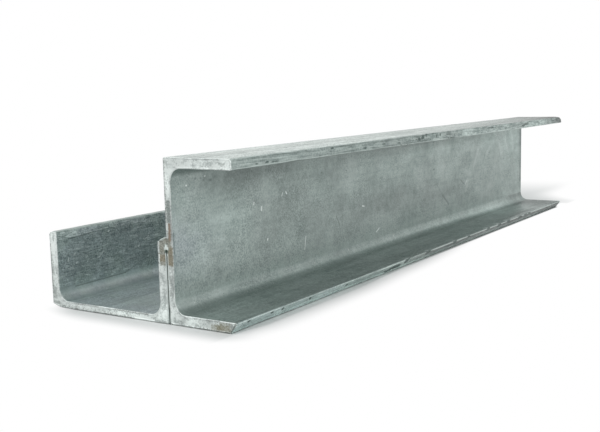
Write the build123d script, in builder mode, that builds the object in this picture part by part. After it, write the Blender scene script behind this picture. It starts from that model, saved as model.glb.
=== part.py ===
"""Corner post for a sleeper retaining wall: two lengths of 100 x 50 hot-rolled parallel flange
channel welded along one seam, so that their mouths face away from each other at right angles.

The lying channel rests on the back of its web and opens upwards. The upright channel stands on
one flange beside it and opens sideways. The back of the upright web meets the outer face of the
lying channel's flange, and one weld runs the whole seam, in the corner over that flange's toe.

X runs across the post, Y along it and Z up. The origin is on the floor, in the middle of the
footprint. All lengths are millimetres.
"""

import os

from build123d import *

# Post
post_length = 600.0  # sawn square at both ends
fit_up_gap = 0.5  # between the flange and the web that it is welded to

# Channel section, the same bar for both
channel_depth = 100.0
flange_width = 50.0
flange_thickness = 6.7
web_thickness = 4.7
root_radius = 8.0  # inside, between web and flange
heel_radius = 1.0  # outside, between web and flange
toe_outer_radius = 1.2
toe_inner_radius = 0.8

# Seam weld, in a groove bevelled off the outer corner of the lying channel's toe
groove_width = 3.5  # off the thickness of the flange
groove_depth = 5.0  # down its outer face
weld_rise = 3.0  # up the web, above the toe of the flange
weld_crown = 0.4  # how far the face bulges

# Places that follow from the sizes above
overall_width = channel_depth + fit_up_gap + flange_width
lying_middle = (channel_depth - overall_width) / 2
lying_flange_back = lying_middle + channel_depth / 2
upright_back = lying_flange_back + fit_up_gap
groove_edge = -(fit_up_gap + groove_width)  # on the toe, from the back of the upright web
weld_edge = -(fit_up_gap + flange_thickness - toe_inner_radius)


def across(x, z, rolled=(1, 0, 0)):
    """The plane of a cross-section at mid-length, with its own X turned towards rolled."""
    return Plane(origin=(x, 0, z), x_dir=rolled, z_dir=(0, -1, 0))


def channel_section():
    """The rolled section: back of the web on the own Y axis, flanges towards the own +X."""
    mouth = channel_depth - 2 * flange_thickness
    with BuildSketch() as section:
        Rectangle(flange_width, channel_depth, align=(Align.MIN, Align.CENTER))
        with Locations((web_thickness, 0)):
            Rectangle(
                flange_width - web_thickness,
                mouth,
                align=(Align.MIN, Align.CENTER),
                mode=Mode.SUBTRACT,
            )
        fillet(section.vertices().group_by(Axis.X)[1], root_radius)
        fillet(section.vertices().group_by(Axis.X)[0], heel_radius)
        fillet(section.vertices().group_by(Axis.X)[-1].sort_by(Axis.Y)[1:3], toe_inner_radius)
        toes = section.vertices().group_by(Axis.X)[-1].sort_by(Axis.Y)
        fillet([toes[0], toes[-1]], toe_outer_radius)
    return section.sketch


# Top of the seam: the back of the upright web, level with the toe that the weld covers
seam_plane = across(upright_back, flange_width)

# Lying channel: web on the floor, flanges up, the flange at the seam bevelled for the weld
with BuildPart() as lying_channel:
    with BuildSketch(across(lying_middle, 0, rolled=(0, 0, 1))):
        add(channel_section())
    extrude(amount=post_length / 2, both=True)
    with BuildSketch(seam_plane):
        Polygon(
            (groove_edge, 0),
            (-fit_up_gap, -groove_depth),
            (-fit_up_gap, 0),
            align=None,
        )
    extrude(amount=post_length / 2, both=True, mode=Mode.SUBTRACT)

# Upright channel: web upright, one flange on the floor
with BuildPart() as upright_channel:
    with BuildSketch(across(upright_back, channel_depth / 2)):
        add(channel_section())
    extrude(amount=post_length / 2, both=True)

# Seam weld: it fills the groove, covers the toe and climbs the web, flush with the sawn ends
with BuildPart() as seam_weld:
    with BuildSketch(seam_plane):
        with BuildLine():
            Polyline(
                (weld_edge, 0),
                (groove_edge, 0),
                (-fit_up_gap, -groove_depth),
                (0, -groove_depth),
                (0, weld_rise),
            )
            SagittaArc((0, weld_rise), (weld_edge, 0), -weld_crown)
        make_face()
    extrude(amount=post_length / 2, both=True)

os.makedirs("parts", exist_ok=True)
for name, piece in (
    ("lying_channel", lying_channel),
    ("upright_channel", upright_channel),
    ("seam_weld", seam_weld),
):
    piece.part.label = name
    export_step(piece.part, f"parts/{name}.step")
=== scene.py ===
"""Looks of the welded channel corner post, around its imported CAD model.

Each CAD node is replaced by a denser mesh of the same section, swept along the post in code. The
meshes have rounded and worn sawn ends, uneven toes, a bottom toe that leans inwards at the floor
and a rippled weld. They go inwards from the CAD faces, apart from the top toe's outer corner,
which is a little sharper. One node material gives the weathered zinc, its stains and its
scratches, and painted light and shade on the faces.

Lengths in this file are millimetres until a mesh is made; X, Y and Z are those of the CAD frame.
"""

import bpy
import numpy as np
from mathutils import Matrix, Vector
from mathutils.geometry import delaunay_2d_cdt


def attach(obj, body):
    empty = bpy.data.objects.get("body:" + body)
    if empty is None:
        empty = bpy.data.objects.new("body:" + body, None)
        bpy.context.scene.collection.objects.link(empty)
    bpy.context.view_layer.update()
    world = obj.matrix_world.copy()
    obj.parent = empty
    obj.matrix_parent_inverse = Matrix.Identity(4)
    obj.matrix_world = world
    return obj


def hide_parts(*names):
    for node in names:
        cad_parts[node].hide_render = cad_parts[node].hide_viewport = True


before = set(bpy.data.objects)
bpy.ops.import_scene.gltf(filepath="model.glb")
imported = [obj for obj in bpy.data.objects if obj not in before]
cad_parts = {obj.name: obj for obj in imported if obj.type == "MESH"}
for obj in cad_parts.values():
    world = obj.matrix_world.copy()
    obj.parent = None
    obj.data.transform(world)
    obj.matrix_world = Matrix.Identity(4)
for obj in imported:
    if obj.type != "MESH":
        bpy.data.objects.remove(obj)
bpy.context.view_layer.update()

MM = 0.001

# Columns of a table of places
ACROSS = 0
ALONG = 1
UP = 2

# Sizes of the post, as in the CAD source
half_length = 300.0
half_width = 75.25
channel_depth = 100.0
flange_width = 50.0
flange_thickness = 6.7
web_thickness = 4.7
root_radius = 8.0
heel_radius = 1.0
toe_inner_radius = 0.8
upright_back = 25.25
seam_face = 24.75
groove_edge = 21.25
groove_bottom = 45.0
weld_edge = 18.85
weld_top = 53.0
weld_crown = 0.4

# Sizes for the looks alone, read from the photo
top_toe_radius = 0.9
left_toe_radius = 1.5
toe_lean = 4.2  # of the bottom toe, inwards at the floor
lean_top = 5.4  # height over which it leans
lean_radius = 0.8
ripple_pitch = 1.7

# Places that follow from them
upright_web = upright_back + web_thickness
lying_left_inside = -half_width + flange_thickness
lying_right_inside = seam_face - flange_thickness

# Steps of the visual meshes
station_step = 1.25
flat_step = 6.0
toe_step = 0.6
support_step = 0.35
seam_step = 0.8
bead_step = 0.5
cap_step = 0.6
cap_margin = 0.35 * cap_step
cap_fade = 0.8  # from the rim, where a sawn face's relief grows
edge_radius = 0.45
ring_shares = (0.0, 0.13, 0.4, 0.7, 1.0)  # of the edge radius, from the sawn face
sawn_face = -9.0  # as the number of a side


def smooth(t):
    """Eases 0 to 1."""
    t = np.clip(t, 0.0, 1.0)
    return t * t * (3 - 2 * t)


def band(value, low, high, low_soft, high_soft):
    """1 between two values, eased to 0 over a soft length inside each."""
    return smooth((value - low) / low_soft) * smooth((high - value) / high_soft)


def lattice(u, v, cell_u, cell_v, seed):
    """Smooth seeded noise from -1 to 1 over u and v, with cells of the given size."""
    size = 256
    above_zero = 1000.0
    table = np.random.default_rng(seed).uniform(-1, 1, (size, size))
    a = np.asarray(u, float) / cell_u + above_zero
    b = np.asarray(v, float) / cell_v + above_zero
    i = np.floor(a).astype(int)
    j = np.floor(b).astype(int)
    fa = smooth(a - i)
    fb = smooth(b - j)
    low = table[i % size, j % size] * (1 - fa) + table[(i + 1) % size, j % size] * fa
    high = table[i % size, (j + 1) % size] * (1 - fa)
    high = high + table[(i + 1) % size, (j + 1) % size] * fa
    return low * (1 - fb) + high * fb


def corner_arc(corner, before, after, radius):
    """Points of a corner's rounding, between the corners before and after it."""
    if radius == 0:
        return [corner]
    back = (before - corner) / np.linalg.norm(before - corner)
    ahead = (after - corner) / np.linalg.norm(after - corner)
    half_angle = np.arccos(np.clip(back @ ahead, -1, 1)) / 2
    reach = radius / np.tan(half_angle)
    inwards = (back + ahead) / np.linalg.norm(back + ahead)
    centre = corner + inwards * (radius / np.sin(half_angle))
    start = corner + back * reach - centre
    end = corner + ahead * reach - centre
    pieces = 10 if radius > 5 else 6 if radius > 2 else 4
    first = np.arctan2(start[1], start[0])
    turn = np.arctan2(end[1], end[0]) - first
    turn = (turn + np.pi) % (2 * np.pi) - np.pi
    angles = first + turn * np.linspace(0, 1, pieces + 1)
    return [centre + radius * np.array([np.cos(a), np.sin(a)]) for a in angles]


def rounded_outline(corners):
    """Points around a section whose corners are (x, z, radius, step of the side that follows).

    Returns the points and, for each, the number of its side; a corner has that of the side that
    follows, less a half.
    """
    count = len(corners)
    places = [np.array(corner[:2], float) for corner in corners]
    arcs = []
    for n, corner in enumerate(corners):
        arcs.append(corner_arc(places[n], places[n - 1], places[(n + 1) % count], corner[2]))
    points = []
    sides = []
    for n in range(count):
        points += arcs[n]
        sides += [n - 0.5] * len(arcs[n])
        start = arcs[n][-1]
        end = arcs[(n + 1) % count][0]
        length = np.linalg.norm(end - start)
        step = corners[n][3]
        if length < 3 * support_step:
            continue
        inner = max(1, int(round((length - 2 * support_step) / step)))
        for along in np.linspace(support_step, length - support_step, inner + 1):
            points.append(start + (end - start) * along / length)
            sides.append(n)
    return np.array(points), np.array(sides)


def outward(points):
    """Unit normals of an outline that runs anticlockwise."""
    tangents = np.roll(points, -1, 0) - np.roll(points, 1, 0)
    tangents = tangents / np.linalg.norm(tangents, axis=1)[:, None]
    return np.stack([tangents[:, 1], -tangents[:, 0]], 1)


def stations(step):
    """Places along the post of the rings, closer together at the rounded ends."""
    near = [edge_radius * (1 - np.cos(share * np.pi / 2)) for share in ring_shares]
    near += [0.8, 1.3, 2.1]
    inner = np.arange(3.3, 2 * half_length - 3.0, step)
    far = [2 * half_length - place for place in near[::-1]]
    return np.concatenate([near, inner, far]) - half_length


def around(points):
    """Distance along the outline to each point."""
    steps = np.linalg.norm(np.roll(points, -1, 0) - points, axis=1)
    return np.concatenate([[0], np.cumsum(steps)[:-1]])


def inside_points(outline, joined, step, margin):
    """Grid points inside an outline, at least a margin away from it, slightly scattered.

    Returns them with their distance from the part of the outline that joins nothing.
    """
    rng = np.random.default_rng(7)
    low = outline.min(0)
    high = outline.max(0)
    xs = np.arange(low[0], high[0], step)
    zs = np.arange(low[1], high[1], step)
    grid = np.array([(x, z) for x in xs for z in zs])
    grid = grid + rng.uniform(-0.25, 0.25, grid.shape) * step
    ahead = np.roll(outline, -1, 0)
    crossings = np.zeros(len(grid), int)
    nearest = np.full(len(grid), 1e9)
    free = np.full(len(grid), 1e9)
    bound = joined & np.roll(joined, -1)
    for a, b, held in zip(outline, ahead, bound):
        side = b - a
        if a[1] != b[1]:
            spans = (grid[:, 1] < a[1]) != (grid[:, 1] < b[1])
            reach = a[0] + (grid[:, 1] - a[1]) / (b[1] - a[1]) * side[0]
            crossings += spans & (grid[:, 0] < reach)
        share = np.clip(((grid - a) @ side) / max(side @ side, 1e-9), 0, 1)
        gap = np.linalg.norm(grid - a - share[:, None] * side, axis=1)
        nearest = np.minimum(nearest, gap)
        if not held:
            free = np.minimum(free, gap)
    keep = (crossings % 2 == 1) & (nearest > margin)
    return grid[keep], free[keep]


def at_seam(points):
    """Which points of a section lie where the weld meets a channel."""
    x = points[:, 0]
    z = points[:, 1]
    up_web = (np.abs(x - upright_back) < 0.02) & (z > groove_bottom - 0.02) & (z < weld_top + 0.02)
    on_toe = (np.abs(z - flange_width) < 0.02) & (x > weld_edge + 0.05) & (x < groove_edge + 0.02)
    slope = (x - groove_edge) / (seam_face - groove_edge)
    down = flange_width - slope * (flange_width - groove_bottom)
    bevel = (np.abs(z - down) < 0.05) & (slope > -0.01) & (slope < 1.01)
    return up_web | on_toe | bevel


def rings(points, sides, inset, ys):
    """Places of an outline's points at every station, in one table."""
    s = around(points)
    joined = at_seam(points)
    seam_depth = np.where(joined, sawn_relief(points), 0.0)
    places = []
    for y in ys:
        gap = half_length - abs(y)
        radius = end_radius(points, y) * np.where(joined, 0.02, 1.0)
        depth = np.clip(1 - gap / radius, 0, 1)
        rounding = radius * (1 - np.sqrt(1 - depth**2))
        down = rounding + np.where(joined, 0.0, inset(points, s, y, sides))
        worn = knocked(points, y)
        ring = worn - outward(worn) * down[:, None]
        along = np.sign(y) * (half_length - np.maximum(gap, seam_depth))
        places.append(np.stack([ring[:, 0], along, ring[:, 1]], 1))
    return np.concatenate(places)


def cap(loop, joined, start, first_middle, sign):
    """Places and faces of a sawn face inside a loop whose first vertex has the number start."""
    count = len(loop)
    middle, free = inside_points(loop, joined, cap_step, cap_margin)
    every = [Vector(place) for place in np.concatenate([loop, middle])]
    out = delaunay_2d_cdt(every, [], [list(range(count))], 1, 1e-6)
    depth = sawn_relief(middle) * smooth(free / cap_fade)
    ys = sign * (half_length - depth)
    places = [(place[0], y, place[1]) for place, y in zip(middle, ys)]
    faces = []
    for face in out[2]:
        olds = [out[3][new][0] for new in face]
        ids = [start + old if old < count else first_middle + old - count for old in olds]
        faces.append(ids if sign < 0 else ids[::-1])
    return places, faces


def added(name, data):
    """A new object of the scene."""
    made = bpy.data.objects.new(name, data)
    bpy.context.scene.collection.objects.link(made)
    return made


def sweep(name, corners, inset, step, zones):
    """A closed mesh of a section swept along the post, with rounded ends and lumpy sawn faces.

    inset(points, s, y, sides) says how far in each point of a ring lies. zones names attributes
    and how to get them.
    """
    points, sides = rounded_outline(corners)
    ys = stations(step)
    count = len(points)
    places = list(rings(points, sides, inset, ys))
    faces = []
    for k in range(len(ys) - 1):
        for n in range(count):
            m = (n + 1) % count
            faces.append((k * count + n, k * count + m, (k + 1) * count + m, (k + 1) * count + n))
    side_of = list(np.tile(sides, len(ys)))
    for start, sign in ((0, -1), ((len(ys) - 1) * count, 1)):
        loop = np.array(places[start : start + count])[:, [ACROSS, UP]]
        more_places, more_faces = cap(loop, at_seam(points), start, len(places), sign)
        places += more_places
        faces += more_faces
        side_of += [sawn_face] * len(more_places)
    mesh = bpy.data.meshes.new(name)
    mesh.from_pydata([Vector(place) * MM for place in places], [], faces)
    mesh.polygons.foreach_set("use_smooth", [True] * len(mesh.polygons))
    for zone, rule in zones.items():
        shares = rule(np.array(places), np.array(side_of)).astype(np.float32)
        mesh.attributes.new(zone, "FLOAT", "POINT").data.foreach_set("value", shares)
    return added(name, mesh)


def near_spot(points, x, z, radius):
    """1 at a place of the section, falling to 0 at a radius from it."""
    gap = np.hypot(points[:, 0] - x, points[:, 1] - z)
    return smooth(1 - gap / radius)


def end_radius(points, y):
    """How much the sawn edge is rounded at each point: zinc and handling make it uneven."""
    seed = 11 if y < 0 else 12
    radius = edge_radius * (1 + 0.35 * lattice(points[:, 0], points[:, 1], 3.0, 3.0, seed))
    if y < 0:
        beside_seam = np.abs(points[:, 0] - 25.0) < 0.6
        radius = np.where(beside_seam & (points[:, 1] > 12.0), 0.4 * radius, radius)
        radius = radius + 0.4 * near_spot(points, seam_face, 6.0, 6.0)
    bead = (points[:, 0] < upright_back - 0.01) & (points[:, 1] > flange_width + 0.001)
    thin = np.clip(points[:, 1] - flange_width, 0.02, 1.0)
    return np.where(bead, radius * thin, radius)


# Corners knocked rounder: end, x, z, side of the middle in x and z, how far across and how far up
# the wear goes, how far it reaches along the post, and its shape: 1 is a bevel, 2 is round
worn_corners = (
    (-1, -half_width, 0.0, 1, 1, 7.0, 2.0, 12.0, 1.1),
    (-1, -half_width, flange_width, 1, -1, 2.6, 2.8, 6.0, 2.0),
    (-1, half_width, channel_depth, -1, -1, 1.9, 2.2, 3.0, 2.0),
    (1, half_width, channel_depth, -1, -1, 6.0, 3.4, 12.0, 2.0),
)


def knocked(points, y):
    """The section at a station, with the worn corners of the ends rounder."""
    points = points.copy()
    for end, x, z, side_x, side_z, wide, high, reach, shape in worn_corners:
        share = smooth(1 - (half_length - end * y) / reach)
        if share < 0.25:
            continue
        reach_xz = share * np.array([wide, high])
        centre = np.array([x, z]) + np.array([side_x, side_z]) * reach_xz
        away = (points - centre) / reach_xz
        outside = (away[:, 0] * side_x < 0) & (away[:, 1] * side_z < 0)
        distance = (np.abs(away) ** shape).sum(1) ** (1 / shape)
        moved = outside & (distance > 1)
        points[moved] = centre + away[moved] / distance[moved, None] * reach_xz
    return points


# Chips in the zinc of the toes: place along from the near end, height, half length, half height
# and depth
toe_chips = (
    (24.2, 95.3, 2.4, 0.5, 0.45),
    (35.5, 95.3, 3.4, 0.5, 0.45),
    (44, 95.1, 5, 0.35, 0.4),
    (48.3, 97.2, 0.9, 1, 0.3),
    (70, 96.2, 1.6, 0.9, 0.3),
    (110, 98.4, 2.2, 0.9, 0.5),
    (154, 95.6, 2.6, 0.9, 0.45),
    (182, 96.5, 3, 0.8, 0.3),
    (206, 95.7, 3, 0.8, 0.3),
    (215, 94, 14, 0.4, 0.3),
    (235.3, 96.2, 1.8, 0.7, 0.5),
    (240.8, 96.6, 2.8, 1.5, 0.6),
    (246.8, 97.5, 3, 1.9, 0.6),
    (253.4, 99.3, 2, 0.6, 0.5),
    (260, 94.9, 1.8, 0.7, 0.45),
    (268, 99.5, 7, 0.4, 0.35),
    (272.8, 97.3, 3, 1.1, 0.5),
    (279.5, 98, 1.6, 1.4, 0.4),
    (300, 94.3, 11, 0.5, 0.4),
    (372, 97.4, 3, 0.8, 0.3),
    (390, 98.2, 8, 0.7, 0.45),
    (478, 95.8, 6, 1, 0.45),
    (486, 97, 6, 1.3, 0.5),
    (494, 98.4, 6, 1, 0.4),
    (13, 4.9, 1.5, 0.8, 0.45),
    (37, 4.8, 1.6, 0.9, 0.5),
    (49, 4.4, 1.6, 0.9, 0.5),
    (80.5, 4.1, 1.8, 0.9, 0.5),
    (128, 3.6, 1.9, 0.9, 0.45),
    (190, 1.9, 7, 0.9, 0.4),
    (202, 2.9, 10, 1.5, 0.45),
    (218.5, 5.3, 4.2, 2.2, 0.6),
    (256, 5.4, 4.6, 2.1, 0.6),
    (309, 5.4, 3.8, 2.2, 0.6),
    (339, 5.2, 3.4, 2.1, 0.6),
    (385, 5.4, 4.2, 2.2, 0.6),
    (413, 5.5, 4.4, 2.2, 0.6),
    (437, 5.5, 4.4, 2.2, 0.6),
    (470, 5.5, 5, 2.2, 0.6),
    (486, 5.5, 5, 2.2, 0.6),
    (498, 5.8, 4.4, 2, 0.6),
)


deepest_chip = 0.6


def chips(y, z):
    """How deep the chips of the toes are at a place."""
    depth = np.zeros(np.broadcast(y, z).shape)
    for along, height, length, tall, deep in toe_chips:
        gap = np.hypot((y + half_length - along) / length, (z - height) / tall)
        depth = np.maximum(depth, deep * smooth(1.4 - gap))
    return depth


def coating(s, y, seed):
    """How far the zinc lies inside the CAD face: slow waves and a fine unevenness."""
    slow = 0.05 * (1 - lattice(s, y, 16.0, 45.0, seed))
    fine = 0.02 * (1 - lattice(s, y, 3.0, 7.0, seed + 1))
    return slow + fine


def toe_wear(s, y, seed):
    """Ridges left by rolling and wear along a toe."""
    ridges = 0.09 * (1 - lattice(s, y, 0.9, 70.0, seed))
    wander = 0.10 * (1 - lattice(s, y, 3.0, 14.0, seed + 1))
    return ridges + wander


def on_sides(sides, chosen):
    """1 on the chosen sides and on the corners beside them."""
    on = np.zeros(len(sides))
    for side in chosen:
        on = np.maximum(on, np.abs(sides - side) <= 0.5)
    return on


upright_corners = (
    (upright_back, 0, heel_radius, flat_step),
    (half_width - toe_lean, 0, lean_radius, toe_step),
    (half_width, lean_top, lean_radius, toe_step),
    (half_width, flange_thickness, toe_inner_radius, flat_step),
    (upright_web, flange_thickness, root_radius, flat_step),
    (upright_web, channel_depth - flange_thickness, root_radius, flat_step),
    (half_width, channel_depth - flange_thickness, toe_inner_radius, toe_step),
    (half_width, channel_depth, top_toe_radius, flat_step),
    (upright_back, channel_depth, heel_radius, flat_step),
    (upright_back, weld_top, 0, seam_step),
    (upright_back, groove_bottom, 0, flat_step),
)
bottom_toe = 1
bottom_lip = 2
flange_top = 3
upright_web_side = 4
top_toe = 6
top_face = 7
low_toes = (bottom_toe, bottom_lip)
both_toes = (bottom_toe, bottom_lip, top_toe)

lying_corners = (
    (-half_width, 0, heel_radius, flat_step),
    (seam_face, 0, heel_radius, flat_step),
    (seam_face, groove_bottom, 0, seam_step),
    (groove_edge, flange_width, 0, seam_step),
    (lying_right_inside, flange_width, toe_inner_radius, flat_step),
    (lying_right_inside, web_thickness, root_radius, flat_step),
    (lying_left_inside, web_thickness, root_radius, flat_step),
    (lying_left_inside, flange_width, toe_inner_radius, toe_step),
    (-half_width, flange_width, left_toe_radius, flat_step),
    (-half_width, 4.0, 0, toe_step),
)
lying_web_side = 5
left_flange_inside = 6
left_toe = 7

weld_corners = (
    (weld_edge, flange_width, 0, seam_step),
    (groove_edge, flange_width, 0, seam_step),
    (seam_face, groove_bottom, 0, seam_step),
    (upright_back, groove_bottom, 0, seam_step),
    (upright_back, weld_top, 0, bead_step),
)
bead_face = 4


def upright_inset(points, s, y, sides):
    """How far the upright channel's zinc lies inside the CAD faces at a station."""
    toes = on_sides(sides, both_toes)
    z = points[:, 1]
    crease = 0.3 * band(z, 95.4, 99.8, 0.5, 0.5)
    hollow = 0.25 * band(z, 0.8, 5.6, 0.8, 0.5)
    depth = coating(s, y, 21) + toes * (toe_wear(s, y, 23) + crease + hollow)
    return depth + toes * chips(y, z)


def lying_inset(points, s, y, sides):
    """How far the lying channel's zinc lies inside the CAD faces at a station."""
    toes = on_sides(sides, (left_toe,))
    return coating(s, y, 31) + toes * toe_wear(s, y, 33)


def weld_inset(points, s, y, sides):
    """The bead's crown, its crescent ripples and its lumps; the hidden sides stay as they are."""
    span = np.hypot(upright_back - weld_edge, weld_top - flange_width)
    share = (upright_back - points[:, 0]) / (upright_back - weld_edge)
    free = (sides == bead_face) * 4 * share * (1 - share)
    wander = 0.5 * lattice(y, 0, 9.0, 1.0, 53)
    bow = 0.4 * span * (2 * share - 1) ** 2
    phase = (y + bow + wander) / ripple_pitch
    ripple = 0.14 * (1 - np.cos(2 * np.pi * phase)) ** 0.7
    lumps = 0.12 * (1 - lattice(share * span, y, 3.0, 8.0, 51))
    from_end = smooth((half_length - abs(y)) / 2.0)
    return free * (from_end * (ripple + lumps) - weld_crown)


def sawn_relief(places):
    """How far a sawn face lies behind its edges: lumps of zinc over saw marks."""
    x = places[:, 0]
    z = places[:, 1]
    lumps = 0.08 * (1 - lattice(x, z, 2.4, 2.0, 41))
    grains = 0.05 * (1 - lattice(x, z, 0.9, 0.9, 44))
    saw = 0.02 * (1 - lattice(x, z, 40.0, 1.2, 47))
    root_drop = 1 - np.hypot((x - 25.0) / 1.5, (z - 46.3) / 2.0)
    around_drop = 0.3 * smooth(1 - np.abs(root_drop) / 0.5) * (root_drop < 0)
    flat = 1 - smooth(root_drop / 0.5)
    return (0.05 + lumps + grains + saw) * flat + around_drop


def sawn(places, sides):
    """1 on the sawn faces and their rounded edges."""
    gap = half_length - np.abs(places[:, ALONG])
    return smooth(1 - (gap - 0.15) / 0.5)


def spots(a, b, rows):
    """Soft spots over two coordinates; a row is a spot's place, half lengths and strength."""
    total = np.zeros(len(a))
    for at_a, at_b, half_a, half_b, strength in rows:
        gap = ((a - at_a) / half_a) ** 2 + ((b - at_b) / half_b) ** 2
        total += strength * np.exp(-gap)
    return total


def from_near(places):
    """How far each place lies from the near end."""
    return places[:, ALONG] + half_length


def blobs(places, axis, rows):
    """Soft spots on a long face: along from the near end and over one more axis."""
    return spots(from_near(places), places[:, axis], rows)


# Tone of the visible faces, partly painted light and shade and partly the zinc's uneven tone:
# shares lighter or darker than the zinc's own colour, each with its place along and across or
# up the face, its half lengths and its strength
# On the web: painted shade under the top flange, at heights 86 to 92, and a painted highlight on
# the bottom root fillet, shaped by lighter and darker bands at heights 7 to 16; the other rows are
# uneven tone
web_tone_and_painted_light = (
    (110, 78, 60, 14, -0.18),
    (70, 88, 60, 6, -0.2),
    (10, 56, 34, 44, 0.09),
    (120, 50, 60, 20, -0.1),
    (60, 22, 90, 7, -0.04),
    (190, 26, 60, 10, -0.1),
    (240, 46, 70, 14, -0.2),
    (330, 38, 90, 13, -0.22),
    (420, 34, 60, 12, -0.12),
    (260, 89, 150, 4.5, -0.26),
    (330, 80, 60, 6, 0.16),
    (420, 80, 60, 8, 0.16),
    (505, 80, 36, 11, 0.28),
    (540, 66, 14, 16, 0.1),
    (568, 76, 28, 16, 0.48),
    (470, 60, 16, 8, 0.08),
    (584, 50, 7, 60, 0.1),
    (12, 72, 20, 14, 0.09),
    (180, 11.6, 150, 2.2, -0.14),
    (60, 15.2, 190, 2, 0.14),
    (450, 8.8, 140, 2, 0.2),
    (540, 8, 110, 2.8, 0.33),
    (200, 8.4, 150, 1.8, 0.13),
    (490, 14.2, 110, 2, 0.15),
    (85, 70, 34, 4, 0.13),
    (110, 42, 40, 8, -0.09),
    (320, 70, 26, 4, 0.12),
    (60, 81, 26, 7, -0.24),
    (200, 80, 40, 7, -0.1),
    (580, 78, 14, 10, -0.16),
    (120, 88, 30, 5, -0.1),
    (340, 88, 90, 4, -0.18),
    (60, 55, 22, 10, 0.24),
    (120, 55, 26, 10, -0.14),
    (120, 25, 30, 8, -0.1),
)
# On the bottom flange: painted shade along the foot of the root fillet, 37.5 across, all along the
# post; the other rows are uneven tone
flange_tone_and_painted_shading = (
    (220, 37.5, 600, 3.2, -0.16),
    (80, 37.5, 110, 3.2, 0.1),
    (120, 66, 40, 10, -0.16),
    (240, 66, 60, 10, -0.14),
    (480, 70, 40, 8, -0.34),
    (500, 47, 50, 11, 0.29),
    (60, 53, 20, 6, 0.12),
    (592, 55, 46, 60, -0.5),
    (26, 52, 22, 12, 0.08),
)
top_tones = (
    (40, 45, 160, 60, 0.42),
    (300, 45, 220, 60, 0.22),
    (60, 44, 130, 7, -0.2),
    (80, 28.5, 170, 2.8, 0.6),
    (36, 41, 50, 5, -0.14),
    (110, 68, 110, 8, 0.3),
    (400, 72, 18, 4, -0.52),
    (560, 70, 140, 14, -0.33),
    (596, 60, 50, 60, -0.4),
    (598, 72, 14, 9, -0.35),
    (210, 50, 70, 60, 0.09),
    (470, 55, 50, 60, -0.07),
)
# On the top toe: a painted highlight along its top corner at height 99.8, with a dark line just
# under it; the other rows are uneven tone
top_toe_tone_and_highlight = (
    (110, 99.1, 150, 0.7, -0.16),
    (110, 99.8, 150, 0.4, 0.42),
    (110, 97.3, 110, 0.5, 0.1),
    (110, 95, 110, 0.5, -0.16),
    (120, 96, 24, 9, -0.16),
    (205, 96, 30, 9, -0.18),
    (250, 96, 12, 9, -0.16),
    (263, 98, 7, 2, 0.26),
    (340, 97, 24, 9, 0.26),
    (385, 97, 18, 9, 0.14),
    (430, 96, 30, 9, 0.04),
    (500, 96, 26, 9, 0.2),
    (300, 96, 26, 9, -0.14),
    (525, 96, 30, 9, 0.26),
    (580, 96, 40, 9, -0.14),
    (596, 97, 16, 9, -0.55),
)
# On the bottom toe: painted light over its near part and over its lowest two millimetres, where the
# leaning face is shaded; the other rows are uneven tone
bottom_toe_tone_and_painted_light = (
    (60, 3, 130, 20, 0.8),
    (2, 3, 9, 20, 0.16),
    (60, 3.2, 90, 1, 0.14),
    (330, 3, 90, 20, -0.12),
    (460, 3, 110, 20, -0.28),
    (592, 3, 34, 20, -0.46),
    (200, 3, 26, 20, 0.52),
    (300, 3, 1000, 60, -0.12),
    (170, 6.5, 220, 0.55, -0.42),
    (290, 5.4, 100, 0.5, 0.14),
    (290, 3.9, 70, 1, -0.3),
    (410, 4.9, 190, 0.55, -0.35),
    (480, 4.2, 50, 1.4, -0.32),
    (545, 3.8, 24, 1.4, -0.34),
    (203, 2.7, 9, 1.3, -0.34),
    (80, 5, 120, 0.6, 0.16),
    (20, 2.4, 34, 0.8, -0.2),
    (330, 1.3, 260, 1.1, 0.5),
    (60, 0.9, 140, 0.9, 0.45),
)
lying_tones = (
    (50, -30, 200, 60, 0.12),
    (110, -57, 70, 3, -0.2),
    (40, -44, 60, 4, 0.1),
    (20, -22, 40, 5, 0.14),
    (60, -33, 60, 2.5, -0.1),
    (75, -8, 26, 8, 0.16),
    (40, -50, 100, 10, 0.14),
    (120, -45, 20, 8, -0.24),
    (18, -13, 16, 5, -0.2),
)
left_flange_tones = (
    (5, 30, 50, 60, 0.24),
    (20, 31, 10, 7, -0.26),
    (60, 42, 22, 5, -0.14),
    (60, 20, 30, 7, 0.16),
    (110, 28, 40, 12, 0.14),
    (50, 35, 70, 11, 0.12),
)
# Tone of the outer flange's root, which catches a broad soft light
left_root_tones = (
    (30, 11.2, 60, 2.3, 0.5),
    (80, 11.6, 40, 2.8, 0.45),
    (60, 6.6, 200, 1.3, -0.26),
)
# Where the web is dustier
web_dust = (
    (60, 30, 70, 18, 0.9),
    (110, 64, 50, 16, 0.5),
    (250, 40, 90, 16, 0.4),
)
# Where the web is bluer
seam_cool = ((10, 46, 26, 16, 0.9),)
# Tone of the near sawn end: places across and up, half lengths and strength
end_tones = (
    (27.6, 25, 3, 11, -0.12),
    (27.6, 35.8, 3, 2.6, -0.32),
    (27.6, 60, 3, 9, -0.3),
    (29.4, 54, 1.2, 12, -0.34),
    (55, 3.3, 5, 4, -0.18),
    (21.5, 36, 2.6, 2.6, -0.1),
    (21.5, 12, 2.6, 4, 0.24),
    (35, 96.6, 10, 6, -0.18),
    (49, 96.6, 6, 6, -0.04),
    (63, 96.6, 4, 6, -0.14),
    (27.6, 84, 3, 5, 0.14),
    (27.6, 73, 3, 5, -0.12),
    (35, 3.3, 4, 4, -0.14),
    (43, 3.3, 5, 4, 0.16),
    (21.5, 30, 2.6, 5, -0.18),
    (21.5, 18, 2.6, 5, -0.12),
    (20, 5, 5, 4, 0.22),
    (-66, 2.4, 9, 4, -0.14),
    (-8, 2.4, 14, 4, 0.28),
    (-72, 47, 4, 4, 0.18),
    (-72, 9, 5, 8, -0.14),
)


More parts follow.
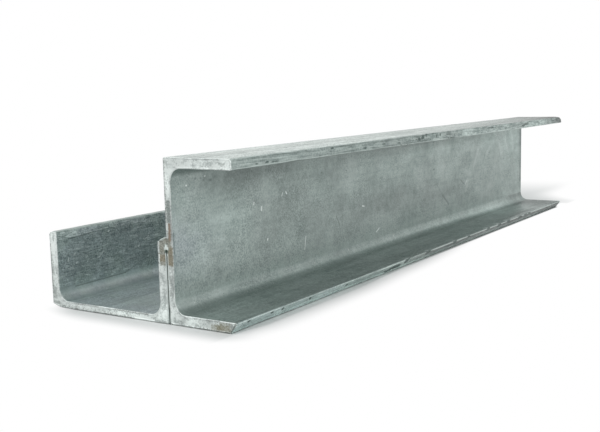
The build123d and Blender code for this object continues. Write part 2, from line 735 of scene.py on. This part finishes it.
def end_tone(places, sides):
    """Tone of the near sawn end."""
    tone = spots(places[:, ACROSS], places[:, UP], end_tones)
    return tone * (from_near(places) < 2.0)


def level(places, sides):
    """1 where the section runs across the post, 0 where it runs up."""
    x = places[:, ACROSS]
    z = places[:, UP]
    low = smooth((9.0 - z) / 4.0)
    high = smooth((z - 91.0) / 4.0)
    return np.maximum(low, high) * smooth((np.abs(x - 24.0) - 4.0) / 6.0)


def upright_shade(places, sides):
    """Tone of the upright channel's faces, with painted light and shade."""
    shade = blobs(places, UP, web_tone_and_painted_light) * on_sides(sides, (upright_web_side,))
    from_web = np.abs(sides - flange_top - 0.25) < 0.3
    shade += blobs(places, ACROSS, flange_tone_and_painted_shading) * from_web
    shade += blobs(places, ACROSS, top_tones) * (sides == top_face)
    shade += blobs(places, UP, top_toe_tone_and_highlight) * on_sides(sides, (top_toe,))
    return shade + blobs(places, UP, bottom_toe_tone_and_painted_light) * on_sides(sides, low_toes)


def lying_shade(places, sides):
    """Tone of the lying channel's faces, with painted light on the outer flange's root."""
    shade = blobs(places, ACROSS, lying_tones) * on_sides(sides, (lying_web_side,))
    shade += blobs(places, UP, left_flange_tones) * (sides == left_flange_inside)
    in_root = np.abs(sides - left_flange_inside + 0.25) < 0.3
    return shade + blobs(places, UP, left_root_tones) * in_root


def upright_edge_highlight(places, sides):
    """1 along the toes' corners, where a thin bright line of painted highlight runs; the lower one
    is bright towards the far end.
    """
    along = from_near(places)
    low = band(places[:, UP], 5.5, 6.75, 0.3, 0.2) * smooth((along - 225.0) / 60.0)
    high = band(places[:, UP], 93.2, 94.3, 0.2, 0.3)
    broken = 0.25 + 0.9 * smooth(0.5 + 0.9 * lattice(along, 0.0, 22.0, 1.0, 61))
    return on_sides(sides, both_toes) * np.maximum(low, high * broken)


def upright_toe(places, sides):
    """1 on the bottom toe and more on the top one, which is more lined."""
    return on_sides(sides, low_toes) + 1.3 * on_sides(sides, (top_toe,))


def lying_toe(places, sides):
    """1 on the toe of the outer flange."""
    return on_sides(sides, (left_toe,))


def upright_chip(places, sides):
    """How bare the chips of the toes are; those of the bottom toe are barer."""
    barer = 1.0 + 0.7 * on_sides(sides, low_toes)
    depth = chips(places[:, ALONG], places[:, UP]) / deepest_chip
    return upright_toe(places, sides) * barer * depth


def lying_cool(places, sides):
    """1 inside the lying channel, where the zinc is bluer."""
    inside = (sides >= lying_web_side - 0.5) & (sides <= left_flange_inside)
    return inside.astype(float)


def upright_streaky(places, sides):
    """How streaky the top of the bottom flange is: less towards the far end."""
    far = smooth((from_near(places) - 150.0) / 200.0)
    return (sides == flange_top) * (0.65 - 0.35 * far)


def upright_dust(places, sides):
    """1 where the web is dusty."""
    return blobs(places, UP, web_dust) * (sides == upright_web_side)


def upright_flaky(places, sides):
    """1 where the toes' zinc is flaky, mostly towards the far end."""
    far = smooth((from_near(places) - 150.0) / 100.0)
    top = on_sides(sides, (top_toe,)) * (0.3 + 0.9 * far)
    return top + on_sides(sides, low_toes) * (0.45 + 0.55 * far)


def upright_cool(places, sides):
    """1 where the zinc is bluer: on the web beside the seam and on the near bottom toe."""
    beside_seam = blobs(places, UP, seam_cool) * (sides == upright_web_side)
    near = smooth((200.0 - from_near(places)) / 120.0)
    return beside_seam + 0.4 * on_sides(sides, low_toes) * near


def alone(side, share=1.0):
    """A zone that is one side, without the corners beside it."""
    return lambda places, sides: share * (sides == side)


end_zones = {"sawn": sawn, "end_tone": end_tone, "level": level}
upright_zones = end_zones | {
    "toe": upright_toe,
    "chip": upright_chip,
    "rim": upright_edge_highlight,
    "shade": upright_shade,
    "streaky": upright_streaky,
    "top": alone(top_face),
    "dust": upright_dust,
    "flaky": upright_flaky,
    "cool": upright_cool,
}
lying_zones = end_zones | {
    "toe": lying_toe,
    "shade": lying_shade,
    "blotch": alone(left_flange_inside),
    "cool": lying_cool,
    "streaky": alone(lying_web_side, 1.2),
}
weld_zones = end_zones


# Colours of the zinc, for a shader
dark_zinc = (0.17, 0.215, 0.205, 1.0)
pale_zinc = (0.455, 0.532, 0.505, 1.0)
neutral_zinc = (0.355, 0.375, 0.37, 1.0)
dark_top = (0.24, 0.26, 0.25, 1.0)
pale_top = (0.50, 0.53, 0.51, 1.0)
dark_blue = (0.165, 0.20, 0.215, 1.0)
pale_blue = (0.45, 0.50, 0.53, 1.0)
dark_sawn = (0.38, 0.42, 0.41, 1.0)
pale_sawn = (0.76, 0.81, 0.79, 1.0)
wrinkle_top = (0.56, 0.62, 0.61, 1.0)
wrinkle_hollow = (0.13, 0.165, 0.17, 1.0)
crumb = (0.66, 0.72, 0.71, 1.0)
# Painted highlight along the toes' corners
toe_highlight = (0.62, 0.70, 0.67, 1.0)
pale_speck = (0.8, 0.84, 0.83, 1.0)
dark_speck = (0.10, 0.13, 0.125, 1.0)
pale_mark = (0.85, 0.9, 0.89, 1.0)
dark_mark = (0.09, 0.12, 0.115, 1.0)
pale_fleck = (0.85, 0.89, 0.88, 1.0)
dark_fleck = (0.16, 0.19, 0.18, 1.0)
bare_steel = (0.08, 0.115, 0.105, 1.0)
sawn_pit = (0.18, 0.22, 0.20, 1.0)

# Patterns of the zinc
fleck_squeeze = (1, 0.3, 1)
rolled = (1, 0.04, 1)
stain_depth = 2.0  # behind the sawn face
stretch_across = (0.4, 1, 1)
stretch_up = (1, 1, 0.4)

# Colours and strength of the studio
white = (1.0, 1.0, 1.0, 1.0)
floor_grey = (0.74, 0.74, 0.74, 1.0)
sky_grey = (0.95, 1.0, 0.99, 1.0)
sky_strength = 0.7

# The studio, in metres
far_end = half_length * MM
floor_reach = 30.0
floor_height = -0.0002
floor_turns = ((-1, -1), (1, -1), (1, 1), (-1, 1))
shadow_start = 0.003
shadow_end = 0.027
shadow_left = 0.047  # from the middle of the post
shadow_pull = 0.8
shadow_stretch = 0.095  # behind the far end
camera_place = (0.3794, -0.6982, 0.1371)
camera_turn = (1.43172786, 0.0247692394, 0.57442751)
camera_lens = 54.40
sensor_width = 36.0
# Lamps: name, place, target, size and power
lamps = (
    ("key", (-0.7, -1.3, 1.3), (0.0, -0.1, 0.05), 1.2, 9.0),
    ("fill", (1.5, -0.5, 0.9), (0.0, 0.0, 0.05), 1.2, 5.0),
)


class Graph:
    """Short calls for building the nodes of one material or world."""

    def __init__(self, owner):
        owner.use_nodes = True
        self.tree = owner.node_tree
        self.tree.nodes.clear()
        self.place = None

    def locate(self, factor):
        """Sets and returns the place in the object, times a factor."""
        coords = self.node("ShaderNodeTexCoord").outputs["Object"]
        self.place = self.scaled(coords, factor)
        return self.place

    def node(self, kind, sources=(), **settings):
        """A node with its settings; sources feeds its inputs."""
        made = self.tree.nodes.new(kind)
        for key, setting in settings.items():
            setattr(made, key, setting)
        for key, source in dict(sources).items():
            self.feed(made.inputs[key], source)
        return made

    def feed(self, socket, source):
        """Links an output to a socket, or sets the socket's own value."""
        if isinstance(source, bpy.types.NodeSocket):
            self.tree.links.new(source, socket)
        else:
            socket.default_value = source

    def math(self, operation, *sources):
        """Arithmetic on values."""
        return self.node("ShaderNodeMath", enumerate(sources), operation=operation).outputs[0]

    def times(self, a, b):
        """The product of two values."""
        return self.math("MULTIPLY", a, b)

    def centred(self, value):
        """A noise with its middle moved to 0."""
        return self.math("SUBTRACT", value, 0.5)

    def total(self, base, *layers):
        """A base plus layers, each given with its weight."""
        for layer, weight in layers:
            base = self.math("MULTIPLY_ADD", layer, weight, base)
        return base

    def largest(self, first, *others):
        """The largest of some values."""
        for other in others:
            first = self.math("MAXIMUM", first, other)
        return first

    def vector(self, operation, *sources):
        """Arithmetic on vectors."""
        made = self.node("ShaderNodeVectorMath", enumerate(sources), operation=operation)
        return made.outputs["Value" if operation in ("LENGTH", "DOT_PRODUCT") else "Vector"]

    def scaled(self, vector, factor):
        """A vector or a colour times a value."""
        sources = {0: vector, "Scale": factor}
        return self.node("ShaderNodeVectorMath", sources, operation="SCALE").outputs[0]

    def ease(self, value, low, high, start=0.0, end=1.0):
        """From start to end as a value goes from low to high."""
        sources = {0: value, 1: low, 2: high, 3: start, 4: end}
        return self.node("ShaderNodeMapRange", sources, interpolation_type="SMOOTHSTEP").outputs[0]

    def noise(self, size, detail=2.0, rough=0.55, squeeze=(1, 1, 1)):
        """Soft noise of a size in millimetres, longer on the axes that are squeezed."""
        place = self.vector("MULTIPLY", self.place, squeeze)
        sources = {"Vector": place, "Scale": 1.0 / size, "Detail": detail, "Roughness": rough}
        return self.node("ShaderNodeTexNoise", sources).outputs[0]

    def mix(self, share, a, b):
        """A colour between two."""
        return self.node("ShaderNodeMix", {0: share, 6: a, 7: b}, data_type="RGBA").outputs[2]

    def cover(self, colour, tint, mask, strength=1.0):
        """A colour with a tint over it where a mask is 1."""
        return self.mix(self.times(mask, strength), colour, tint)

    def attribute(self, name):
        """A zone of the mesh."""
        return self.node("ShaderNodeAttribute", attribute_name=name).outputs["Fac"]

    def two_shaders(self, share, first, second):
        """The first shader and a share of the second."""
        sources = {0: share, 1: first.outputs[0], 2: second.outputs[0]}
        return self.node("ShaderNodeMixShader", sources)


def specks(graph, cell, radius, share, shift, squeeze=(1, 1, 1)):
    """Small spots scattered in cells, present in a share of them."""
    moved = graph.vector("MULTIPLY_ADD", graph.place, squeeze, shift)
    cells = graph.node("ShaderNodeTexVoronoi", {"Vector": moved, "Scale": 1.0 / cell})
    chosen = graph.node("ShaderNodeSeparateColor", {0: cells.outputs["Color"]}).outputs[0]
    present = graph.ease(chosen, 1 - share, 1 - share + 0.05)
    near = graph.ease(cells.outputs["Distance"], radius / cell, 0.35 * radius / cell)
    return graph.times(present, near)


def patch(graph, centre, half, soft, ragged=None):
    """A soft-edged box or strip of a stain; ragged makes its edge uneven."""
    away = graph.vector("ABSOLUTE", graph.vector("SUBTRACT", graph.place, centre))
    over = graph.vector("SUBTRACT", away, half)
    over = graph.vector("MAXIMUM", over, (0.0, 0.0, 0.0))
    gap = graph.vector("LENGTH", over)
    if ragged is not None:
        gap = graph.total(gap, (gap, ragged))
    return graph.ease(gap, soft, 0.0)


def scratch(graph, start, end, width):
    """A thin straight mark between two places."""
    line = Vector(end) - Vector(start)
    length = line.length
    from_start = graph.vector("SUBTRACT", graph.place, start)
    way = tuple(line / length)
    along = graph.vector("DOT_PRODUCT", from_start, way)
    along = graph.math("MINIMUM", graph.largest(along, 0.0), length)
    foot = graph.scaled(way, along)
    gap = graph.vector("LENGTH", graph.vector("SUBTRACT", from_start, foot))
    return graph.ease(gap, width, 0.3 * width)


def rgb(red, green, blue):
    """A colour as it is read off a screen, 0 to 255, for a shader."""
    shares = [value / 255 for value in (red, green, blue)]
    plain = [v / 12.92 if v <= 0.04045 else ((v + 0.055) / 1.055) ** 2.4 for v in shares]
    return (*plain, 1.0)


def end_patch(graph, across, up, wide, high, soft, ragged=None):
    """A stain's mask on the near sawn end."""
    centre = (across, -half_length, up)
    return patch(graph, centre, (wide, stain_depth, high), soft, ragged)


def end_line(graph, start, end, width):
    """A thin mark's mask on the near sawn end, between two places across and up."""
    first, last = ((across, -half_length, up) for across, up in (start, end))
    return scratch(graph, first, last, width)


def end_stains(graph, colour):
    """Rust, weld scale and dirt on the near sawn end, over its zinc."""
    ragged = graph.times(graph.centred(graph.noise(1.2, 3.0)), 4.0)
    fine = graph.noise(0.7, 2.0, 0.7)
    olive = graph.mix(graph.ease(fine, 0.35, 0.65), rgb(110, 112, 102), rgb(158, 159, 150))
    tan = graph.mix(graph.ease(fine, 0.35, 0.65), rgb(112, 106, 89), rgb(148, 142, 125))
    rust = graph.mix(graph.ease(fine, 0.3, 0.7), rgb(138, 124, 105), rgb(124, 107, 99))
    grey = graph.mix(graph.ease(fine, 0.35, 0.65), rgb(112, 120, 118), rgb(150, 157, 154))
    brown = graph.mix(graph.ease(fine, 0.35, 0.65), rgb(118, 114, 94), rgb(164, 163, 150))
    dirt = graph.mix(graph.ease(fine, 0.45, 0.6), rgb(110, 116, 113), rgb(196, 202, 200))
    stains = (
        (grey, 27.7, 68, 1, 6.2, 0.8, 0.9),
        (rust, 27.9, 55.6, 0.6, 5.2, 0.6, 0.95),
        (olive, 24, 47.2, 4.1, 3, 0.7, 0.9),
        (olive, 25.4, 50.9, 1.6, 0.9, 0.8, 0.9),
        (olive, 21.7, 41.2, 1.9, 5.4, 0.6, 0.9),
        (tan, 27.8, 41.2, 1.6, 5, 0.9, 0.95),
        (tan, 21.7, 40, 1.9, 1.8, 0.7, 0.85),
        (dirt, 71.4, 2.6, 0.9, 1.2, 2.2, 0.75),
        (brown, 66.4, 2.6, 2.6, 0.8, 3.2, 0.75),
        (brown, 63.4, 2.4, 1.5, 0.6, 2.4, 0.95),
        (brown, 59.6, 2, 2, 0.7, 2.6, 0.55),
        (grey, -71.2, 3, 2, 0.7, 0.7, 0.65),
        (dirt, -72.8, 8.4, 0.7, 2, 0.9, 0.5),
        (dirt, -74.7, 22, 0.2, 19, 1.1, 0.7),
        (dirt, -40, 0.4, 34, 0.1, 1.2, 0.8),
        (dirt, 58, 0.3, 14, 0.1, 0.9, 0.7),
        (dirt, -6, 4.2, 14, 0.1, 0.8, 0.7),
        (dirt, -44, 4.4, 8, 0.1, 0.8, 0.6),
        (grey, 18, 0.9, 4.5, 0.3, 0.7, 0.6),
        (dirt, 25.6, 80, 0.1, 18, 1.1, 0.6),
        (grey, 68, 96.6, 1.7, 0.2, 0.8, 0.45),
        (grey, 58, 97.4, 1.2, 0.1, 0.7, 0.35),
        (grey, 27.3, 97, 0.8, 0.5, 0.8, 0.45),
        (grey, 27.6, 27, 0.9, 2.2, 0.8, 0.5),
        (grey, 27.2, 19, 0.7, 1.6, 0.8, 0.4),
    )
    for stain, across, up, wide, high, soft, strength in stains:
        mask = end_patch(graph, across, up, wide, high, soft, ragged)
        colour = graph.cover(colour, stain, mask, strength)
    lips = end_patch(graph, 25.0, 20.0, 0.9, 22.5, 0.7)
    colour = graph.cover(colour, rgb(190, 200, 196), lips, 0.5)
    edge = end_line(graph, (74.6, 6.2), (71.2, 0.2), 1.0)
    colour = graph.cover(colour, rgb(92, 104, 98), edge, 0.6)
    rim = end_line(graph, (19.4, 50.3), (24.9, 52.8), 0.8)
    colour = graph.cover(colour, rgb(196, 207, 203), rim, 0.8)
    pit = end_patch(graph, 24.8, 44.0, 1.0, 0.5, 0.9)
    colour = graph.cover(colour, rgb(74, 94, 83), pit, 0.85)
    drop = end_patch(graph, 24.7, 46.0, 1.15, 0.4, 1.0)
    tip = end_patch(graph, 24.7, 47.3, 0.5, 0.5, 0.9)
    return graph.mix(graph.largest(drop, tip), colour, rgb(222, 231, 227))


def web_place(along, height):
    """A place on the inside of the upright web, from the near end and the floor."""
    return (upright_web, along - half_length, height)


def flange_place(along, height):
    """A place on the inside of the lying channel's outer flange."""
    return (lying_left_inside, along - half_length, height)


def top_place(along, x):
    """A place on the top face of the upright channel."""
    return (x, along - half_length, channel_depth)


# Single marks on a face: start and end, each along and across it, then width and strength
pale_web_marks = (
    (143, 22.5, 144.8, 31.9, 0.55, 0.6),
    (14.4, 82, 14.8, 82, 0.8, 0.7),
    (32.2, 86, 32.6, 86, 0.7, 0.5),
    (120.5, 66.8, 121.5, 65.4, 0.7, 0.8),
    (115.5, 64.5, 116.5, 66.5, 0.6, 0.6),
    (82.2, 62.4, 82.6, 63.8, 0.8, 0.6),
    (90.8, 57.4, 91.2, 60, 0.6, 0.8),
    (96.8, 36.6, 97.3, 37.4, 0.8, 0.7),
    (229, 43.7, 232, 43.2, 0.8, 0.6),
    (252, 19.6, 257, 22, 0.9, 0.6),
    (437, 39.6, 442, 43, 1.6, 0.25),
    (531.6, 73.8, 536, 63.7, 3.6, 0.13),
    (503.9, 72.3, 495.5, 66.6, 3.4, 0.13),
    (470.9, 71.5, 460.5, 57.1, 3.6, 0.12),
    (547.8, 77, 557.2, 65.5, 4, 0.13),
    (445, 43.4, 439.9, 34, 3, 0.1),
    (569.4, 81.2, 572.9, 67.7, 4, 0.13),
)
pale_flange_marks = (
    (75.6, 28.5, 76.2, 28.9, 1.1, 0.95),
    (36.4, 26.7, 41.4, 30.6, 0.6, 0.5),
    (46.6, 43.4, 47.4, 43.8, 0.8, 0.7),
    (14.8, 32.8, 15.4, 33.4, 1, 0.6),
    (16, 26.7, 16.8, 27.2, 1, 0.6),
    (9, 29, 9.6, 31, 0.9, 0.6),
    (25, 29, 26, 29.6, 0.9, 0.5),
    (82, 32, 86.5, 34.2, 0.7, 0.35),
    (86.5, 34.2, 88, 37.6, 0.7, 0.35),
)
dark_web_marks = (
    (188.3, 40.9, 193.2, 33.3, 0.8, 0.45),
    (371, 46.3, 384, 35, 0.9, 0.25),
    (384, 35, 398, 25, 1.5, 0.45),
    (426.7, 45.2, 437, 39.6, 1, 0.5),
    (364, 61, 365.5, 61, 1.2, 0.6),
    (429, 51.6, 431, 51.4, 1.2, 0.5),
    (168, 75.9, 168.6, 75.7, 0.9, 0.6),
    (204, 74.2, 205, 74.1, 0.9, 0.5),
    (23, 85.4, 23.6, 85.4, 1, 0.45),
    (28, 85.2, 28.8, 85, 0.9, 0.4),
    (31, 83.6, 31.4, 83.6, 0.8, 0.4),
    (37, 83.2, 38.2, 83, 1.1, 0.5),
    (42, 84.6, 42.6, 84.6, 0.8, 0.35),
    (46, 82, 46.4, 82, 0.8, 0.35),
    (97, 84, 97.6, 84, 1, 0.5),
    (596.6, 30, 596.6, 86, 4.2, 0.4),
    (598.4, 74, 598.4, 88, 8, 0.25),
    (1.3, 43, 1.5, 55, 0.9, 0.5),
)
dark_top_marks = (
    (119.5, 35.1, 125, 35.1, 1.6, 0.5),
    (116, 48.6, 121, 48.6, 1.4, 0.5),
    (91.2, 37.9, 93, 37.9, 1.2, 0.4),
    (46.7, 67.6, 49, 67.6, 1, 0.35),
    (291.3, 40.9, 295, 40.9, 1.6, 0.5),
)
dark_flange_marks = (
    (10, 43.6, 30, 44.9, 0.7, 0.6),
    (14, 11.3, 61, 11.9, 0.6, 0.5),
    (61, 11.9, 76, 16.7, 0.9, 0.35),
    (30, 44.9, 52, 45.6, 0.6, 0.5),
)
mark_groups = (
    (pale_mark, web_place, pale_web_marks),
    (pale_mark, flange_place, pale_flange_marks),
    (dark_mark, web_place, dark_web_marks),
    (dark_mark, top_place, dark_top_marks),
    (dark_mark, flange_place, dark_flange_marks),
)


def marked(graph, colour):
    """A colour with the single marks over it."""
    for tint, on_face, rows in mark_groups:
        for row in rows:
            mark = scratch(graph, on_face(*row[:2]), on_face(*row[2:4]), row[4])
            colour = graph.cover(colour, tint, mark, row[5])
    return colour


def zinc_tone(graph, zone, patches, mottle, grain):
    """How pale the zinc is, from patterns that are stronger on some zones."""
    broad = graph.noise(70.0, 3.0)
    clouds = graph.noise(16.0, 1.0, 0.4, squeeze=(1, 0.5, 1))
    streaks = graph.noise(3.5, 3.0, squeeze=rolled)
    lines = graph.noise(0.8, 3.0, 0.6, squeeze=rolled)
    flakes = graph.noise(3.0, 4.0, 0.7, squeeze=(1, 0.22, 1))
    dusty = graph.ease(graph.noise(30.0, 3.0), 0.38, 0.62, 0.7, 1.9)
    layers = (
        (broad, 0.4, {}),
        (clouds, 0.35, {}),
        (patches, 0.5, {}),
        (mottle, 0.65, {"blotch": 1.1, "dust": 0.5, "top": 1.3, "streaky": 0.6}),
        (grain, dusty, {"blotch": 1.6, "dust": 1.2, "top": 1.6, "flaky": 1.1, "streaky": 0.9}),
        (streaks, 0.35, {"streaky": 0.6, "top": 1.3}),
        (lines, 0.0, {"streaky": 0.15, "toe": 1.9}),
        (flakes, 0.0, {"flaky": 2.2}),
    )
    tone = 0.5
    for layer, weight, shares in layers:
        weight = graph.total(weight, *((zone[name], share) for name, share in shares.items()))
        tone = graph.total(tone, (graph.centred(layer), weight))
    return tone


def zinc_colour(graph, zone, tone, wrinkles):
    """The zinc's colour before its specks and marks, tinted by zone, with painted light and shade.
    """
    zinc = graph.mix(tone, dark_zinc, pale_zinc)
    neutral = graph.ease(graph.noise(38.0, 2.0), 0.42, 0.62)
    zinc = graph.cover(zinc, neutral_zinc, neutral, 0.12)
    zinc = graph.cover(zinc, graph.mix(tone, dark_top, pale_top), zone["top"], 0.6)
    bluish = graph.ease(graph.noise(22.0, 2.0), 0.36, 0.56, 0.25, 0.6)
    zinc = graph.cover(zinc, graph.mix(tone, dark_blue, pale_blue), zone["cool"], bluish)
    on_blotch = (
        (wrinkle_top, graph.ease(wrinkles, 0.57, 0.63), 0.45),
        (crumb, specks(graph, 4.0, 0.95, 0.4, (2.0, 5.0, 1.0)), 0.6),
        (wrinkle_hollow, graph.ease(wrinkles, 0.42, 0.32), 0.2),
    )
    for tint, mask, strength in on_blotch:
        zinc = graph.cover(zinc, tint, graph.times(mask, zone["blotch"]), strength)
    # The shade zone scales the colour with painted light and shade and the faces' uneven tone
    zinc = graph.scaled(zinc, graph.math("ADD", zone["shade"], 1.0))
    # A painted highlight along the toes' corners
    return graph.cover(zinc, toe_highlight, zone["rim"], 0.55)


def top_flecks(graph, zone, zinc):
    """A colour with dark and pale flecks that run along the top face."""
    dark = specks(graph, 4.6, 1.0, 0.22, (4, 3, 9), fleck_squeeze)
    pale = specks(graph, 4.2, 0.9, 0.25, (8, 2, 6), fleck_squeeze)
    zinc = graph.cover(zinc, dark_fleck, graph.times(dark, zone["top"]), 0.4)
    return graph.cover(zinc, pale_fleck, graph.times(pale, zone["top"]), 0.45)


def bare_chips(graph, zone, zinc):
    """A colour with dark steel in the chips of the toes, in ragged spots."""
    spotty = graph.noise(1.6, 2.0, 0.6, squeeze=(1, 0.5, 1))
    bare = graph.total(0.0, (graph.centred(spotty), 2.8), (zone["chip"], 0.9))
    mask = graph.times(graph.ease(bare, 0.35, 0.65), graph.ease(zone["chip"], 0.1, 0.4))
    return graph.cover(zinc, bare_steel, mask, 0.9)


def sawn_colour(graph, zone, patches, grain):
    """The sawn ends' zinc: streaks along each wall, pits, and the near end's tones and stains."""
    across = graph.noise(2.6, 3.0, 0.6, squeeze=stretch_across)
    upward = graph.noise(2.6, 3.0, 0.6, squeeze=stretch_up)
    turned = graph.node("ShaderNodeMix", {0: zone["level"], 2: upward, 3: across})
    layers = ((graph.centred(layer), 0.7) for layer in (grain, patches))
    tone = graph.ease(graph.total(turned.outputs[0], *layers), 0.22, 0.62)
    colour = graph.mix(tone, dark_sawn, pale_sawn)
    pits = specks(graph, 2.4, 0.6, 0.16, (5.0, 2.0, 1.0))
    colour = graph.cover(colour, sawn_pit, pits, 0.45)
    colour = graph.scaled(colour, graph.math("ADD", zone["end_tone"], 1.0))
    return end_stains(graph, colour)


def galvanised(name):
    """Weathered hot-dip zinc: greenish grey, mottled, with specks, stains, scratches and painted
    light and shade.
    """
    material = bpy.data.materials.new(name)
    graph = Graph(material)
    graph.locate(1 / MM)
    zone = {key: graph.attribute(key) for key in upright_zones | lying_zones}
    patches = graph.noise(14.0, 4.0, 0.6)
    mottle = graph.noise(4.5, 4.0, 0.7)
    grain = graph.noise(1.2, 3.0, 0.75)
    wrinkles = graph.noise(2.4, 4.0, 0.65, squeeze=(1, 0.26, 1))
    pale = specks(graph, 3.8, 0.6, 0.28, (3.0, 1.0, 2.0))
    dark = specks(graph, 3.6, 0.75, 0.30, (1.0, 7.0, 4.0))

    tone = zinc_tone(graph, zone, patches, mottle, grain)
    zinc = zinc_colour(graph, zone, tone, wrinkles)
    zinc = graph.cover(zinc, pale_speck, pale, 0.5)
    zinc = graph.cover(zinc, dark_speck, dark, 0.5)
    zinc = marked(graph, zinc)
    zinc = top_flecks(graph, zone, zinc)
    zinc = bare_chips(graph, zone, zinc)
    colour = graph.mix(zone["sawn"], zinc, sawn_colour(graph, zone, patches, grain))

    height = graph.total(
        0.0,
        (graph.centred(mottle), 0.10),
        (graph.centred(grain), 0.06),
        (graph.centred(wrinkles), zone["blotch"]),
        (pale, 0.05),
        (dark, -0.06),
    )
    bump = graph.node("ShaderNodeBump", {"Strength": 1.0, "Distance": MM, "Height": height})
    rough = graph.total(graph.ease(tone, 0.2, 0.8, 0.50, 0.38), (zone["sawn"], 0.12))
    sources = {"Base Color": colour, "Metallic": 0.7, "Roughness": rough, "Normal": bump.outputs[0]}
    shader = graph.node("ShaderNodeBsdfPrincipled", sources)
    graph.node("ShaderNodeOutputMaterial", {"Surface": shader.outputs[0]})
    return material


def dress(piece, node, material):
    """Puts a piece in the place of its CAD node."""
    piece.data.materials.append(material)
    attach(piece, "root")
    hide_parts(node)


def seen_directly(graph, path):
    """1 for what the camera sees itself, mirrored or through something clear."""
    rays = [path["Is Camera Ray"], path["Is Glossy Ray"], path["Is Transmission Ray"]]
    return graph.largest(*rays)


def beside_post(graph, x, y):
    """How far the floor lies to the left, to the right or behind the post, as the shadow counts."""
    left = graph.times(graph.math("SUBTRACT", graph.times(x, -1.0), shadow_left), shadow_pull)
    near_tip = (-0.27, -0.296)
    past_middle = (-0.17, -0.09)
    under_lean = graph.largest(graph.ease(y, *near_tip), graph.ease(y, *past_middle))
    right = graph.math("SUBTRACT", x, half_width * MM)
    right = graph.total(right, (under_lean, toe_lean * MM))
    near_lift = 0.009
    lift = graph.ease(y, -0.1, 0.5 * far_end, near_lift, shadow_end)
    lift = graph.times(lift, graph.ease(right, 0.0, shadow_start))
    right = graph.total(lift, (right, shadow_pull))
    narrows = (far_end + 0.05, far_end + 0.14, 0.27, 0.7)
    behind = graph.times(x, graph.ease(y, *narrows))
    behind = graph.times(behind, graph.ease(y, far_end, far_end + 0.03))
    return graph.largest(left, right, behind, 0.0)


def past_post(graph, x, y):
    """How far the floor lies before or behind the post, as the shadow counts."""
    before = graph.math("SUBTRACT", graph.times(y, -1.0), far_end)
    near_corner = (-0.078, -0.03, 1.7, 1.15)
    before = graph.times(before, graph.ease(x, *near_corner))
    behind = graph.times(graph.math("SUBTRACT", y, far_end), shadow_stretch)
    return graph.largest(before, behind, 0.0)


def beside_tip(graph, x, y):
    """1 on the floor to the right of the bottom flange's far tip."""
    soft = 0.005
    follows_corner = (far_end - 0.002, far_end + 0.004, 0.072, 0.062)
    starts = (far_end - 0.03, far_end - 0.012)
    ends = (far_end + 0.05, far_end + 0.03)
    outside = graph.math("SUBTRACT", x, graph.ease(y, *follows_corner))
    beside = graph.times(graph.ease(outside, 0.0, soft), graph.ease(y, *starts))
    return graph.times(beside, graph.ease(y, *ends))


def floor_material():
    """Pale matt floor, white to the camera beyond the soft shadow around the post."""
    material = bpy.data.materials.new("studio_floor")
    graph = Graph(material)
    parts = graph.node("ShaderNodeSeparateXYZ", {0: graph.locate(1.0)})
    x = parts.outputs["X"]
    y = parts.outputs["Y"]
    path = graph.node("ShaderNodeLightPath").outputs
    squares = [graph.math("POWER", gap(graph, x, y), 2.0) for gap in (beside_post, past_post)]
    far = graph.ease(graph.math("SQRT", graph.math("ADD", *squares)), shadow_start, shadow_end)
    tip = graph.times(beside_tip(graph, x, y), path["Is Camera Ray"])
    share = graph.times(graph.largest(far, tip), seen_directly(graph, path))
    matt = graph.node("ShaderNodeBsdfDiffuse", {"Color": floor_grey})
    glow = graph.node("ShaderNodeEmission", {"Color": white, "Strength": 1.0})
    mixed = graph.two_shaders(share, matt, glow)
    graph.node("ShaderNodeOutputMaterial", {"Surface": mixed.outputs[0]})
    return material


def build_floor():
    """A wide floor just under the post."""
    corners = [(x * floor_reach, y * floor_reach, floor_height) for x, y in floor_turns]
    mesh = bpy.data.meshes.new("floor")
    mesh.from_pydata(corners, [], [(0, 1, 2, 3)])
    mesh.materials.append(floor_material())
    floor = added("floor", mesh)


def build_world():
    """Grey light from all round, white to the camera and in reflections."""
    world = bpy.data.worlds.new("studio")
    bpy.context.scene.world = world
    graph = Graph(world)
    path = graph.node("ShaderNodeLightPath").outputs
    ambient = graph.node("ShaderNodeBackground", {"Color": sky_grey, "Strength": sky_strength})
    plain = graph.node("ShaderNodeBackground", {"Color": white, "Strength": 1.0})
    mixed = graph.two_shaders(seen_directly(graph, path), ambient, plain)
    graph.node("ShaderNodeOutputWorld", {"Surface": mixed.outputs[0]})


def build_lamp(name, location, target, size, power):
    """A soft square lamp aimed at a target."""
    light = bpy.data.lights.new(name, "AREA")
    light.shape = "SQUARE"
    light.size = size
    light.energy = power
    lamp = added(name, light)
    lamp.location = location
    aim = Vector(target) - Vector(location)
    lamp.rotation_euler = aim.to_track_quat("-Z", "Y").to_euler()


def build_camera():
    """The photograph's camera, as fitted to the corners of the two sections."""
    data = bpy.data.cameras.new("camera")
    data.sensor_width = sensor_width
    data.sensor_fit = "HORIZONTAL"
    data.lens = camera_lens
    data.clip_start = 0.01
    camera = added("camera", data)
    camera.location = camera_place
    camera.rotation_euler = camera_turn
    bpy.context.scene.camera = camera


scene = bpy.context.scene
scene.view_settings.view_transform = "Standard"
build_camera()
build_world()
build_floor()
for lamp_row in lamps:
    build_lamp(*lamp_row)

zinc = galvanised("galvanised_zinc")
upright = sweep("upright_channel_skin", upright_corners, upright_inset, station_step, upright_zones)
lying = sweep("lying_channel_skin", lying_corners, lying_inset, station_step, lying_zones)
bead = sweep("seam_weld_bead", weld_corners, weld_inset, ripple_pitch / 5, weld_zones)
dress(upright, "upright_channel", zinc)
dress(lying, "lying_channel", zinc)
dress(bead, "seam_weld", zinc)
